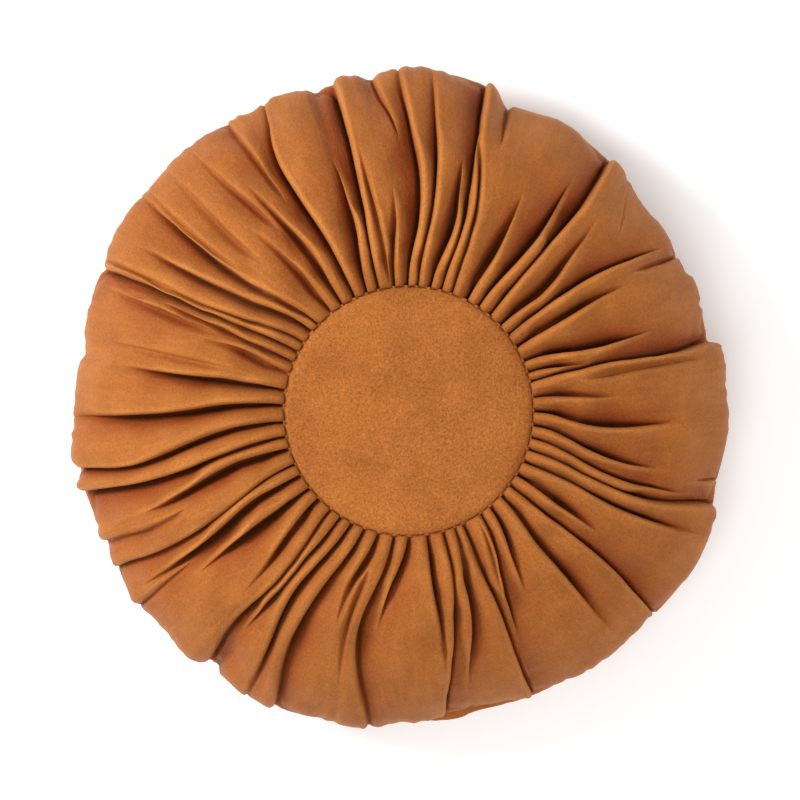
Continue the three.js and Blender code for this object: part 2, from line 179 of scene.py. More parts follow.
# Sewing thread: its radius, each stitch's visible length and the stitches' pitch, mm; the height
# of the two seams and how far inside the disc's edge and the outline they run
THREAD_RADIUS = 0.26
STITCH_LENGTH = 2.3
STITCH_PITCH = 3.2
DISC_SEAM_HEIGHT = 112.8
DISC_SEAM_INSET = 0.05
OUTER_SEAM_HEIGHT = 40.9
OUTER_SEAM_SHARE = 0.976

# The uneven outline: angle in degrees, and reach of the fold tops there
OUTLINE_ROWS = (
    (0, 0.98), (9, 0.965), (10.5, 0.928), (22, 0.925), (24, 0.903),
    (30, 0.92), (40, 0.903), (47, 0.948), (55, 0.945), (65, 0.928),
    (69.8, 0.908), (73, 0.968), (76, 0.99), (86, 1), (92, 0.99),
    (96, 0.967), (97.5, 0.98), (104, 0.97), (105.7, 0.953), (107.5, 0.975),
    (112, 0.98), (118.5, 0.97), (121, 0.985), (130, 1), (139, 0.99),
    (145, 1.005), (154.5, 1), (156.2, 0.982), (158, 1), (169, 0.965),
    (172, 0.955), (174, 0.975), (180, 0.99), (185, 1.01), (191, 1.03),
    (192.5, 1.015), (194, 1.03), (206, 1.01), (212, 1.03), (218, 1.045),
    (223, 1.025), (231, 1.035), (235.5, 0.995), (237, 1.03), (249, 1.045),
    (258, 1.015), (266, 1.028), (268.5, 1), (273, 0.98), (278, 0.97),
    (281, 0.963), (283, 0.947), (287, 0.952), (292, 0.985), (294.5, 1.005),
    (300, 0.995), (304, 1.01), (315, 1.02), (318, 1.003), (320, 1.045),
    (330, 1.05), (340, 1.03), (345.5, 1), (350, 1),
)

# The gathers, anticlockwise from the right. The first five columns are the angle of the crease
# at reach 0, 0.25, 0.5, 0.75 and 1. The crease is open from its start to its end reach, depth is a
# share of the full fold depth, and floor is the width of its dark flat bottom in degrees.
FOLD_COLUMNS = ("seam", "quarter", "half", "late", "rim", "start", "end", "depth", "floor")
FOLD_ROWS = (
    (1.0, -5.3, -5.9, -4.2, -3.0, 0, 0.7, 0.85, 1.6),
    (7.0, 3.4, 2.0, 2.4, 3.4, 0, 0.42, 0.55, 1.6),
    (10.2, 8.8, 8.3, 7.9, 7.6, 0.28, 0.88, 0.3, 1.4),
    (13.8, 12.8, 11.2, 10.1, 10.6, 0, 1, 0.9, 0.6),
    (18.9, 14.0, 12.6, 11.6, 12.0, 0, 0.3, 0.8, 0.6),
    (24.4, 18.8, 16.4, 16.3, 16.8, 0, 0.68, 0.85, 1.4),
    (31.0, 29.4, 28.7, 27.2, 24.6, 0, 0.58, 0.85, 3.2),
    (34.5, 32.8, 31.4, 29.1, 26.9, 0.7, 1, 0.4, 0.5),
    (37.7, 36.5, 34.5, 32.0, 29.6, 0, 0.9, 0.9, 0.8),
    (38.8, 37.6, 35.8, 37.2, 44.6, 0.66, 0.94, 0.14, 0.2),
    (43.8, 40.2, 42.0, 43.6, 46.4, 0, 0.6, 0.85, 3.0),
    (50.0, 49.1, 48.1, 47.7, 48.9, 0, 1, 1.0, 0.8),
    (57.0, 53.4, 51.8, 52.6, 53.6, 0, 0.76, 1.0, 1.6),
    (62.9, 59.9, 60.3, 61.0, 61.5, 0, 0.52, 0.95, 3.4),
    (67.6, 67.2, 67.8, 69.0, 69.9, 0.78, 1, 0.4, 0.5),
    (70.0, 69.5, 71.0, 73.7, 74.4, 0, 0.74, 0.75, 0.8),
    (75.4, 72.8, 73.3, 74.2, 75.0, 0, 1, 0.9, 0.8),
    (81.0, 75.7, 76.0, 77.6, 79.2, 0, 0.62, 1.0, 2.0),
    (86.5, 83.4, 82.1, 83.2, 84.9, 0, 0.92, 0.95, 0.9),
    (91.2, 87.0, 86.4, 88.6, 90.9, 0, 0.97, 1.0, 0.9),
    (93.6, 90.4, 89.8, 91.8, 95.8, 0.65, 1, 0.45, 0.5),
    (97.0, 93.8, 93.4, 95.6, 98.0, 0, 0.44, 0.6, 1.4),
    (98.2, 98.6, 99.8, 100.2, 100.4, 0.02, 0.58, 0.45, 1.2),
    (104.0, 102.9, 102.3, 102.0, 102.6, 0, 1, 1.0, 0.8),
    (110.0, 106.6, 106.0, 106.6, 107.5, 0, 0.65, 0.85, 1.4),
    (115.3, 115.8, 117.2, 118.1, 114.8, 0, 0.98, 0.95, 1.2),
    (119.0, 118.9, 120.2, 121.4, 122.7, 0.52, 1, 0.45, 1.2),
    (122.0, 121.9, 124.2, 126.4, 127.8, 0, 0.64, 0.65, 1.8),
    (124.8, 125.0, 126.5, 129.3, 130.8, 0.42, 0.92, 0.4, 1.6),
    (128.0, 128.2, 131.4, 133.0, 133.8, 0, 0.46, 0.55, 2.4),
    (132.0, 134.4, 136.0, 136.0, 135.8, 0.4, 0.95, 0.28, 2.2),
    (134.2, 139.3, 141.4, 141.7, 140.6, 0.45, 0.97, 0.3, 0.3),
    (135.4, 140.8, 142.9, 142.8, 142.4, 0, 0.95, 0.85, 1.6),
    (139.6, 145.0, 148.2, 149.6, 150.2, 0, 0.8, 0.95, 2.0),
    (146.0, 151.4, 154.0, 154.7, 155.0, 0, 0.95, 0.75, 0.4),
    (151.5, 154.0, 155.3, 155.8, 156.9, 0, 1, 0.85, 0.5),
    (157.0, 157.2, 157.6, 158.0, 158.4, 0, 0.68, 0.6, 0.8),
    (159.6, 159.0, 159.2, 159.5, 159.9, 0.36, 0.96, 0.45, 2.4),
    (162.9, 160.4, 163.2, 165.2, 166.0, 0, 0.42, 0.5, 2.6),
    (167.4, 167.6, 168.4, 168.8, 169.2, 0.25, 0.85, 0.22, 1.6),
    (170.3, 171.4, 172.7, 173.2, 173.6, 0, 0.72, 0.95, 2.4),
    (177.0, 179.4, 182.2, 183.3, 183.6, 0, 0.95, 1.0, 2.2),
    (184.7, 187.2, 191.0, 194.0, 192.5, 0, 1, 0.95, 1.6),
    (191.3, 194.2, 196.7, 197.6, 196.7, 0, 1, 1.0, 1.6),
    (197.4, 198.2, 201.4, 203.9, 203.6, 0, 0.74, 0.9, 2.2),
    (201.0, 203.2, 205.2, 207.2, 205.9, 0.56, 1, 0.35, 1.8),
    (204.3, 208.5, 211.6, 212.2, 210.9, 0, 1, 0.65, 0.1),
    (210.7, 211.5, 214.4, 215.8, 216.4, 0, 0.86, 1.0, 1.8),
    (213.6, 215.2, 217.0, 217.5, 218.8, 0.6, 1, 0.35, 0.4),
    (217.8, 218.5, 219.2, 220.6, 222.0, 0, 0.66, 1.0, 2.0),
    (223.7, 227.0, 229.8, 229.8, 229.9, 0, 0.48, 1.0, 2.8),
    (231.1, 233.8, 234.1, 232.7, 234.2, 0, 1, 0.75, 0.8),
    (237.7, 236.6, 236.1, 235.5, 236.6, 0, 0.76, 0.8, 0.7),
    (243.7, 240.9, 239.6, 241.6, 242.8, 0, 0.97, 0.95, 0.8),
    (250.1, 246.7, 245.0, 245.3, 248.2, 0, 1, 0.7, 1.0),
    (256.9, 252.6, 252.8, 253.8, 255.2, 0, 0.44, 0.65, 2.0),
    (259.8, 256.0, 255.2, 257.0, 259.0, 0.18, 0.74, 0.3, 1.0),
    (263.8, 261.0, 258.4, 260.6, 264.8, 0, 1, 0.6, 1.0),
    (271.2, 265.2, 263.3, 264.8, 268.4, 0, 0.5, 0.65, 1.0),
    (278.6, 278.4, 279.5, 278.8, 277.2, 0, 0.66, 0.75, 1.2),
    (286.1, 285.4, 282.7, 280.4, 277.8, 0, 1, 0.65, 0.4),
    (292.4, 288.9, 287.5, 284.1, 282.6, 0, 0.88, 0.6, 1.8),
    (295.8, 295.0, 294.9, 293.9, 293.8, 0, 1, 0.55, 0.4),
    (303.4, 299.4, 296.2, 295.0, 295.2, 0.06, 0.42, 0.3, 0.3),
    (306.0, 300.9, 297.3, 295.9, 296.2, 0, 0.7, 0.6, 0.5),
    (311.5, 305.8, 302.6, 302.8, 303.6, 0, 0.46, 0.65, 1.2),
    (318.4, 314.4, 313.2, 312.4, 311.8, 0, 0.84, 0.65, 1.8),
    (324.1, 322.5, 322.2, 321.1, 319.0, 0, 1, 0.65, 0.6),
    (330.0, 327.7, 326.6, 326.4, 326.6, 0, 0.52, 0.75, 3.0),
    (336.6, 335.5, 334.1, 334.2, 335.6, 0, 0.9, 0.85, 1.2),
    (342.7, 340.1, 338.2, 338.5, 341.2, 0, 1, 0.85, 0.6),
    (348.7, 343.6, 340.8, 341.1, 342.6, 0, 0.9, 0.6, 0.3),
    (351.4, 345.6, 342.8, 343.2, 345.4, 0.84, 1, 0.4, 0.5),
    (354.6, 348.0, 344.9, 345.6, 347.6, 0, 0.68, 0.75, 1.2),
)
CREASE_STATIONS = (0, 0.25, 0.5, 0.75, 1)
CREASE_EASE = 0.1

# How a crease grows from the seam, eases to the rim and fades in and out at its ends, as reach. The
# slot fades over a short way, the hollow beside it over a longer one, and the crease stops its
# neighbours' flanks over the longest.
OPENS_BY = 0.045
SHARE_AT_SEAM = 0.2
EASES_FROM = 0.5
SHARE_AT_RIM = 0.8
SLOT_FADES = (0.16, 0.3)
HOLLOW_FADES = (0.34, 0.45)
MEET_FADES = (0.6, 0.6)
FOLDS_LOOKED_AT = 5

# How unevenly a crease is pinched in along its way: share of its depth, pace and shift of each wave
PINCHES = ((0.1, 9, 1), (0.06, 23, 3))

# The rolled lip on a crease's clockwise side, mm: its width, at most a share of a narrow fold; how
# far it drops to its brink, at most a share of the depth, and how roundly; how far it leans over
# the crease, and from how far back; and how far it stands proud, how widely and from which reach
LIP_WIDTH = 3.4
LIP_FOLD_SHARE = 0.38
LIP_DROP = 2.4
LIP_DROP_SHARE = 0.5
LIP_BRINK = 0.86
LIP_CURVE = 2.2
LIP_LEAN = 1.1
LIP_LEANS_FROM = 0.4
LIP_RISE = 0.5
LIP_RISE_WIDTH = 1.7
LIP_RISES = (0.02, 0.2)

# The crease's flat floor: how it opens from the seam and narrows to its end, as reach and share.
# The slot and its share of the depth, and the flank that rises to the next lip, both measured from
# a share of the floor; the power that blends creases where they meet
FLOOR_OPENS_BY = 0.12
FLOOR_NARROWS_FROM = 0.1
FLOOR_NARROWS_BY = 0.5
SLOT_FROM = 0.35
SLOT_WIDTH = 1.8
SLOT_SHARE = 0.38
FLANK_FROM = 0.6
FLANK_WIDTH = 32.0
FLANK_CURVE = 1.6
FLANK_SLOPE = 1.3
LEAST_FLANK = 2.0
DEEPEST_BLEND = 5.0

# How dark the painted shade on the pile is: the share of the fold depth at which it is darkest, and
# the painted shade of a flank beside its crease, how fast that fades over the flank, and the flank's
# depth in mm for it
FULL_SHADE = 0.78
SIDE_SHADE = 0.34
SIDE_SHADE_CURVE = 1.6
SIDE_SHADE_DEPTH = 5.0

# The ring's net: the columns of each fold in its slot (mm from the crease), on its long side (how
# many) and on its lip (shares of the lip's width before the next crease); the most of a fold that
# the slot's and the lip's may take; the least step between columns in degrees; and the face's rows
SLOT_COLUMNS = (0.0, 0.6, 1.3, 2.4)
LONG_COLUMNS = 5
LIP_COLUMNS = (1.5, 1.05, 0.74, 0.46, 0.26, 0.12)
MOST_SLOT = 0.3
MOST_LIP = 0.26
LEAST_COLUMN_STEP = 0.03
FACE_ROWS = 86

# From how far along the outline's unevenness shows, how far outside the disc's seam radius the face
# starts in mm, and the share of the folds left where the face is tucked into the outer seam
UNEVEN_FROM = 0.35
SEAM_GAP = 0.3
TUCKED_SHARE = 0.12

# The loose gathers of the outer seam, seen as small scallops of the outline: how many round it, and
# their size as reach
RIM_GATHERS = (118, 163, 97)
RIM_GATHER = 0.0028

# The cage for the cloth simulation: how many rows of the net it skips through, its columns in each
# fold, the frames it runs, its pressure, the mass of a point in kg, the spare cloth as a share, its
# stiffness, how far a point may move in mm, how many times the movement is smoothed, and the shares
# of the rows between which it is let go beside the disc and held again beside the outer seam
PUFF_ROWS = 3
PUFF_COLUMNS = (0, 3, 6, 9, 11, 13)
PUFF_FRAMES = 20
PUFF_PRESSURE = 4.0
PUFF_MASS = 0.0002
PUFF_GROWTH = 0.011
PUFF_STIFFNESS = 4.0
PUFF_MOST = 1.3
PUFF_SMOOTHING = 4
PUFF_FREED = (0.02, 0.14)
PUFF_HELD = (0.9, 0.97)

# Slow swells of the filled cloth: how many waves, their lengths in mm and each one's height in mm
SWELLS = 14
SWELL_LENGTHS = (18.0, 48.0)
SWELL_HEIGHT = 0.16

# The velvet's noise patterns: size of the spots in mm, detail, roughness and distortion. The tufts
# take their size from the cloth, and the fluff is a multiple of it.
LEAN_NOISE = (26.0, 3.0, 0.55, 0.0)
BRUSHED_NOISE = (5.0, 3.0, 0.6, 0.0)
FLAT_NOISE = (60.0, 2.0, 0.5, 0.0)
TUFT_NOISE = (1.5, 0.5, 0.7)
FLUFF_NOISE = (2.0, 0.5, 0.0)
FLUFF_SIZE = 2.2
NOISE_RANGE = (0.3, 0.7)
RANGE_SOCKETS = ("From Min", "From Max", "To Min", "To Max")

# The colour sockets of a Mix node, which share their names with its other sockets
UNDER_SOCKET, OVER_SOCKET, MIXED_SOCKET = 6, 7, 2

# The picture: its width in pixels, the millimetres in one, and the camera's height and place in m
# and its sensor in mm
PHOTO_PIXELS = 800
PHOTO_SCALE = 0.614
CAMERA_DISTANCE = 8.0
CAMERA_PLACE = (0, -0.0012, CAMERA_DISTANCE + 0.055)
CAMERA_SENSOR = 36.0

# The studio: half the floor's side and its drop under the part in m, the strengths of its glow and
# of the room's light, and each softbox's place and size in m and power in W
FLOOR_HALF = 4.0
FLOOR_DROP = 0.0005
FLOOR_GLOW = 0.17
ROOM_LIGHT = 0.5
LIGHTS = (
    ("key_softbox", (-1.5, 0.6, 1.25), 0.8, 40.0),
    ("top_softbox", (-0.1, -0.9, 2.4), 1.8, 30.0),
    ("side_softbox", (2.0, 0.3, 0.6), 0.8, 10.0),
)


def smoothstep(low, high, x):
    """0 below low, 1 above high, and a smooth rise between."""
    t = np.clip((np.asarray(x, float) - low) / (high - low), 0, 1)
    return t * t * (3 - 2 * t)


def mix(a, b, t):
    """a at t of 0, and b at t of 1."""
    return a + (b - a) * t


def read_curve(xs, ys, x, swings=False):
    """Each row of ys as a smooth curve over xs, read at every x. It may swing past its values."""
    xs = np.asarray(xs, float)
    ys = np.atleast_2d(np.asarray(ys, float))
    steps = np.diff(ys) / np.diff(xs)
    before, after = steps[:, :-1], steps[:, 1:]
    same_way = before * after > 0
    middle = np.where(same_way, 2 * before * after / np.where(same_way, before + after, 1), 0)
    if swings:
        middle = (before + after) / 2
    slopes = np.hstack([steps[:, :1], middle, steps[:, -1:]])
    x = np.clip(np.asarray(x, float), xs[0], xs[-1])
    k = np.clip(np.searchsorted(xs, x, side="right") - 1, 0, len(xs) - 2)
    width = xs[k + 1] - xs[k]
    t = (x - xs[k]) / width
    rise = t * (1 - t) ** 2 * slopes[:, k] - t * t * (1 - t) * slopes[:, k + 1]
    return mix(ys[:, k], ys[:, k + 1], t * t * (3 - 2 * t)) + rise * width


CROWN = dict(zip(CROWN_COLUMNS, np.array(CROWN_ROWS).T))
BACK = dict(zip(BACK_COLUMNS, np.array(BACK_ROWS).T))
FOLDS = dict(zip(FOLD_COLUMNS, np.array(FOLD_ROWS, float).T))
TURNS = (-FULL_TURN, 0, FULL_TURN)
OUTLINE_ANGLES = np.concatenate([np.array(OUTLINE_ROWS).T[0] + turn for turn in TURNS])
OUTLINE_REACHES = np.tile(np.array(OUTLINE_ROWS).T[1], len(TURNS))


def outline_reach(angles):
    """The reach of the uneven outline at each angle."""
    flat = read_curve(OUTLINE_ANGLES, OUTLINE_REACHES, np.ravel(angles))[0]
    return flat.reshape(np.shape(angles))


def turn_between(a, b):
    """The signed angle from b to a, within half a turn."""
    return (a - b + FULL_TURN / 2) % FULL_TURN - FULL_TURN / 2


def crease_angles(reach):
    """The angle of each fold's crease at each reach, a row for each fold."""
    stations = np.stack([FOLDS[name] for name in FOLD_COLUMNS[:5]], axis=1)
    near = (-CREASE_EASE, -CREASE_EASE / 2, 0, CREASE_EASE / 2, CREASE_EASE)
    reads = [read_curve(CREASE_STATIONS, stations, reach + ease, swings=True) for ease in near]
    return np.mean(reads, axis=0)


def openness(reach, fades):
    """How open each crease is at each reach, from 0 to 1, faded in and out over the two fades."""
    start, end = FOLDS["start"][:, None], FOLDS["end"][:, None]
    begun = np.where(start > 0, smoothstep(-0.3, 0.7, (reach - start) / fades[0]), 1)
    left = np.where(end < 1, 1 - smoothstep(-0.7, 0.3, (reach - end) / fades[1]), 1)
    return begun * left


class PillowForm:
    """The pillow's surfaces, worked out in mm from the sizes and the tables."""

    def __init__(self, sizes):
        self.disc_radius = sizes.disc_radius / MM
        self.outline_radius = sizes.outline_radius / MM
        self.fold_depth = sizes.fold_depth / MM
        self.outline_offset = np.array([sizes.outline_offset_x, sizes.outline_offset_y]) / MM
        self.rng = np.random.default_rng(SEED)

    def face_rows(self):
        """How far along the face each row of the net lies, evenly by length."""
        fine = np.linspace(0, ALONG_END, 2000)
        reach = read_curve(CROWN["along"], CROWN["reach"], fine)[0]
        height = read_curve(CROWN["along"], CROWN["height"], fine)[0]
        width = self.outline_radius - self.disc_radius
        length = np.concatenate([[0], np.cumsum(np.hypot(np.diff(reach) * width, np.diff(height)))])
        return np.interp(np.linspace(0, length[-1], FACE_ROWS), length, fine)

    def gather(self, reach):
        """Note where each crease runs, how deep it is and how far it is to the next open one."""
        self.scale = np.radians(mix(self.disc_radius, self.outline_radius, reach))
        opening = mix(SHARE_AT_SEAM, 1, smoothstep(0, OPENS_BY, reach))
        easing = mix(1, SHARE_AT_RIM, smoothstep(EASES_FROM, 1, reach))
        phase = self.rng.uniform(0, math.tau, (len(FOLD_ROWS), 1))
        waves = [share * np.sin(reach * pace + phase * shift) for share, pace, shift in PINCHES]
        pinch = 1 + sum(waves)
        depth = self.fold_depth * FOLDS["depth"][:, None] * opening * easing * pinch
        slot_open, hollow_open = openness(reach, SLOT_FADES), openness(reach, HOLLOW_FADES)
        self.slot_open = slot_open
        self.slot_depth = depth * slot_open
        self.hollow_depth = depth * hollow_open
        self.lean = LIP_LEAN * np.clip(self.slot_depth / self.fold_depth, 0, 1)
        self.creases = crease_angles(reach) - self.lean / self.scale
        in_the_way = openness(reach, MEET_FADES)
        self.ahead = np.zeros_like(self.creases)
        self.behind = np.zeros_like(self.creases)
        unmet = np.ones_like(self.creases)
        unmet_behind = np.ones_like(self.creases)
        for step in range(1, FOLDS_LOOKED_AT + 1):
            last = step == FOLDS_LOOKED_AT
            gap = (np.roll(self.creases, -step, axis=0) - self.creases) % FULL_TURN
            meets = 1 if last else np.roll(in_the_way, -step, axis=0)
            self.ahead += unmet * meets * gap
            unmet = unmet * (1 - meets)
            gap = (self.creases - np.roll(self.creases, step, axis=0)) % FULL_TURN
            meets = 1 if last else np.roll(in_the_way, step, axis=0)
            self.behind += unmet_behind * meets * gap
            unmet_behind = unmet_behind * (1 - meets)
        self.ahead *= self.scale
        self.behind *= self.scale

    def net_angles(self):
        """The angles of the net's columns on each row: from each crease to the next one's lip."""
        starts = self.creases
        following = np.roll(starts, -1, axis=0)
        following[-1] += FULL_TURN
        gap = following - starts
        lip = np.minimum(LIP_WIDTH / self.scale, gap * MOST_LIP)
        slot = np.minimum(SLOT_COLUMNS[-1] / self.scale, gap * MOST_SLOT) / SLOT_COLUMNS[-1]
        shares = [slot * place for place in SLOT_COLUMNS]
        first, last = shares[-1], gap - lip * LIP_COLUMNS[0]
        shares += [mix(first, last, (k + 1) / (LONG_COLUMNS + 1)) for k in range(LONG_COLUMNS)]
        shares += [gap - lip * place for place in LIP_COLUMNS]
        angles = np.stack([starts + share for share in shares], axis=1)
        angles = angles.reshape(-1, starts.shape[1])
        for k in range(1, len(angles)):
            angles[k] = np.maximum(angles[k], angles[k - 1] + LEAST_COLUMN_STEP)
        return angles

    def sinking(self, angles, reach):
        """How far the face lies under the fold tops in mm, its lean, its painted shade and its lips.
        """
        total = np.zeros_like(angles)
        lean = np.zeros_like(angles)
        lips = np.zeros_like(angles)
        sides = np.zeros_like(angles)
        for k, floor in enumerate(FOLDS["floor"]):
            across = turn_between(angles, self.creases[k]) * self.scale
            open_here = np.clip(self.slot_depth[k] / self.fold_depth, 0, 1)
            narrowing = smoothstep(FLOOR_NARROWS_FROM, FOLDS["end"][k], reach)
            tapered = self.slot_open[k] * (1 - FLOOR_NARROWS_BY * narrowing)
            flat = floor * self.scale * tapered * smoothstep(0, FLOOR_OPENS_BY, reach)
            lip_width = np.minimum(LIP_WIDTH, self.behind[k] * LIP_FOLD_SHARE)
            inside = np.clip(1 + across / lip_width, 0, 1)
            slot_part = self.slot_depth[k] * SLOT_SHARE
            width = np.clip(self.ahead[k] - lip_width, LEAST_FLANK + flat, FLANK_WIDTH + flat)
            flank_part = self.hollow_depth[k] * (1 - SLOT_SHARE)
            flank_part = np.minimum(flank_part, (width - flat) * FLANK_SLOPE)
            bottom = slot_part + flank_part
            roll = np.minimum(LIP_DROP, bottom * LIP_DROP_SHARE)
            wall = smoothstep(LIP_BRINK, 1, inside)
            before = mix(roll * (inside / LIP_BRINK) ** LIP_CURVE, bottom, wall)
            slot = 1 - smoothstep(flat * SLOT_FROM, SLOT_WIDTH + flat, across)
            foot = flat * FLANK_FROM
            along_side = np.clip((across - foot) / (width - foot), 0, 1)
            beside = slot_part * slot + flank_part * (1 - along_side) ** FLANK_CURVE
            depth = np.where(across < 0, before, beside)
            side = np.where(across < 0, 0, (1 - along_side) ** SIDE_SHADE_CURVE)
            sides = np.maximum(sides, side * np.clip(flank_part / SIDE_SHADE_DEPTH, 0, 1))
            total += np.maximum(depth, 0) ** DEEPEST_BLEND
            bend = np.where(across < 0, inside * np.clip(-across / LIP_LEANS_FROM, 0, 1), 0)
            lean = np.maximum(lean, bend * self.lean[k])
            hump = np.exp(-(((across + LIP_RISE_WIDTH) / LIP_RISE_WIDTH) ** 2) * 2)
            lips = np.maximum(lips, hump * open_here * smoothstep(*LIP_RISES, reach))
        sunk = total ** (1 / DEEPEST_BLEND)
        shade = np.maximum(smoothstep(0, FULL_SHADE * self.fold_depth, sunk), SIDE_SHADE * sides)
        return sunk - lips * LIP_RISE, lean / self.scale, shade, lips

    def swells(self, points):
        """Slow uneven swells of the filled cloth, in mm."""
        rng = np.random.default_rng(SEED + 1)
        height = np.zeros(points.shape[:-1])
        for _ in range(SWELLS):
            heading, phase = rng.uniform(0, math.tau, 2)
            pace = math.tau / rng.uniform(*SWELL_LENGTHS)
            across = points[..., 0] * math.cos(heading) + points[..., 1] * math.sin(heading)
            height += SWELL_HEIGHT * np.sin(across * pace + phase)
        return height

    def plan(self, angles, reach):
        """Points of the plan: on the line between the two circles at the same angle."""
        turn = np.radians(angles)
        across = np.stack([np.cos(turn), np.sin(turn)], axis=-1)
        reach = reach[..., None]
        seam = across * (self.disc_radius + SEAM_GAP)
        rim = across * self.outline_radius + self.outline_offset
        return mix(seam, rim, reach)

    def face(self):
        """The net of the ring's face: its painted shade, its lips, and points in mm, columns by
        rows.
        """
        along = self.face_rows()
        reach = read_curve(CROWN["along"], CROWN["reach"], along)[0]
        height = read_curve(CROWN["along"], CROWN["height"], along)[0]
        self.gather(np.minimum(along, 1.0))
        angles = self.net_angles()
        sunk, lean, shade, lips = self.sinking(angles, np.minimum(along, 1.0))
        tucked = mix(1, TUCKED_SHARE, smoothstep(1.0, ALONG_END, along))
        sunk = sunk * tucked
        angles = angles + lean * tucked
        stretch = mix(1, outline_reach(angles), smoothstep(UNEVEN_FROM, 1, along))
        turn = np.radians(angles)
        gathers = sum(np.sin(turn * count + self.rng.uniform(0, math.tau)) for count in RIM_GATHERS)
        patchy = 0.5 + 0.5 * np.sin(turn * 3 + 1.0) * np.sin(turn * 7)
        near_rim = smoothstep(0.8, 1.0, along) * (1 - smoothstep(1.02, ALONG_END, along))
        stretch = stretch + RIM_GATHER * gathers * patchy * near_rim
        plan = self.plan(angles, reach * stretch)
        settled = smoothstep(0, 0.2, along) * tucked
        sunk = sunk + self.swells(plan) * settled
        width = self.outline_radius - self.disc_radius
        run = np.gradient(reach, along) * width
        fall = -np.gradient(height, along) * smoothstep(0.08, 0.2, along)
        length = np.hypot(run, fall)
        turn = np.radians(angles)
        outward = np.stack([np.cos(turn), np.sin(turn)], axis=-1)
        plan = plan - outward * (sunk * fall / length)[..., None]
        top = height - sunk * run / length
        return shade * tucked, lips * tucked, np.concatenate([plan, top[..., None]], axis=-1)

    def rim(self, angles):
        """Points of the uneven outline at the given angles, in mm."""
        return self.plan(angles, outline_reach(angles))

    def back(self):
        """Loops of the back panel, from the middle of its inner side round to its outer side."""
        angles = np.linspace(0, FULL_TURN, BACK_COLUMNS_AROUND, endpoint=False)
        rim = self.rim(angles)
        centre = self.outline_offset
        outward = rim - centre
        outward = outward / np.linalg.norm(outward, axis=-1)[:, None]
        steps = np.linspace(0, 1, len(BACK_ROWS))
        fine = np.linspace(0, 1, BACK_LOOPS)
        share = read_curve(steps, BACK["share"], fine)[0]
        height = read_curve(steps, BACK["height"], fine)[0]
        across = np.gradient(share * self.outline_radius)
        down = np.gradient(height)
        length = np.hypot(across, down)
        rng = np.random.default_rng(SEED + 2)
        turn = np.radians(angles)
        waves = [np.sin(turn * count + rng.uniform(0, math.tau)) for count in PUCKERS]
        pucker = sum(waves) / len(PUCKERS)
        below = height[0] - height
        past = np.maximum(below - PUCKER_FULL_AT, 0)
        fades = np.clip(below / PUCKER_FULL_AT, 0, 1) * np.exp(-past / PUCKER_REACH * 2)
        peek = np.exp(-((turn_between(angles, PEEK_ANGLE) / PEEK_WIDTH) ** 4)) * PEEK_BULGE
        shows = smoothstep(*PEEK_SPAN[:2], below) * (1 - smoothstep(*PEEK_SPAN[2:], below))
        loops = []
        for inner in (True, False):
            order = range(len(fine))[::-1] if inner else range(len(fine))
            for k in order:
                puff = PUCKER_DEPTH * pucker * fades[k] + peek * shows[k]
                thin = CLOTH_THICKNESS * smoothstep(-0.05, 0.2, fine[k]) if inner else 0
                out = share[k] * np.linalg.norm(rim - centre, axis=-1) + puff
                out = out + thin * down[k] / length[k]
                level = height[k] - thin * across[k] / length[k]
                place = centre + outward * out[:, None]
                loops.append(np.column_stack([place, np.full(len(angles), level)]))
        return loops


def to_frame(points):
    """Points in mm about the disc's centre, as metres in the frame."""
    shifted = np.asarray(points, float) + np.array([DISC_CENTRE.x, DISC_CENTRE.y, 0])
    return shifted * MM


def net_object(name, loops, top, bottom, shade=None):
    """A closed skin over loops of equally many points, with a pole at each end.

    Its UV map is the cloth's own length across and along, in metres. Its
    painted_fold_shade_and_lip_highlight attribute holds painted shade and a painted highlight: 1
    deep in a fold, 0 on the flat and -1 on the lip of a fold.
    """
    loops = np.asarray(loops)
    rows, columns = loops.shape[:2]
    points = np.vstack([[top], loops.reshape(-1, 3), [bottom]])
    row, column = np.meshgrid(np.arange(rows - 1), np.arange(columns), indexing="ij")
    here = 1 + row * columns + column
    beside = 1 + row * columns + (column + 1) % columns
    quads = np.stack([here, here + columns, beside + columns, beside], axis=-1).reshape(-1, 4)
    ring = np.arange(columns)
    last = 1 + (rows - 1) * columns
    caps = [(0, 1 + k, 1 + (k + 1) % columns) for k in ring]
    feet = [(len(points) - 1, last + (k + 1) % columns, last + k) for k in ring]
    mesh = bpy.data.meshes.new(name)
    mesh.from_pydata(to_frame(points).tolist(), [], quads.tolist() + caps + feet)

    middle = loops[rows // 2]
    widths = np.linalg.norm(np.roll(middle, -1, axis=0) - middle, axis=-1)
    across = np.concatenate([[0], np.cumsum(widths)]) * MM
    steps = np.linalg.norm(np.diff(loops, axis=0), axis=-1).mean(axis=1)
    along = np.concatenate([[0], np.cumsum(steps)]) * MM
    left, right = across[column], across[column + 1]
    near, far = along[row], along[row + 1]
    corners = np.stack([left, near, left, far, right, far, right, near], axis=-1).reshape(-1, 2)
    flat = 0 * widths
    tip = np.stack([across[:-1], flat, across[:-1], flat, across[1:], flat], axis=-1)
    foot = tip + [0, along[-1]] * 3
    layer = mesh.uv_layers.new(name="cloth")
    places = np.vstack([corners, tip.reshape(-1, 2), foot.reshape(-1, 2)])
    layer.data.foreach_set("uv", places.ravel())
    shades = np.zeros(len(points)) if shade is None else np.concatenate([[0], np.ravel(shade), [0]])
    mesh.attributes.new("painted_fold_shade_and_lip_highlight", "FLOAT", "POINT").data.foreach_set("value", shades)
    piece = bpy.data.objects.new(name, mesh)
    bpy.context.scene.collection.objects.link(piece)
    mesh.shade_smooth()
    return piece


def make_plain(piece):
    """The piece with its modifiers applied and removed."""
    graph = bpy.context.evaluated_depsgraph_get()
    finished = bpy.data.meshes.new_from_object(piece.evaluated_get(graph), depsgraph=graph)
    piece.modifiers.clear()
    old = piece.data
    piece.data = finished
    bpy.data.meshes.remove(old)
    finished.name = piece.name
    finished.shade_smooth()
    return piece


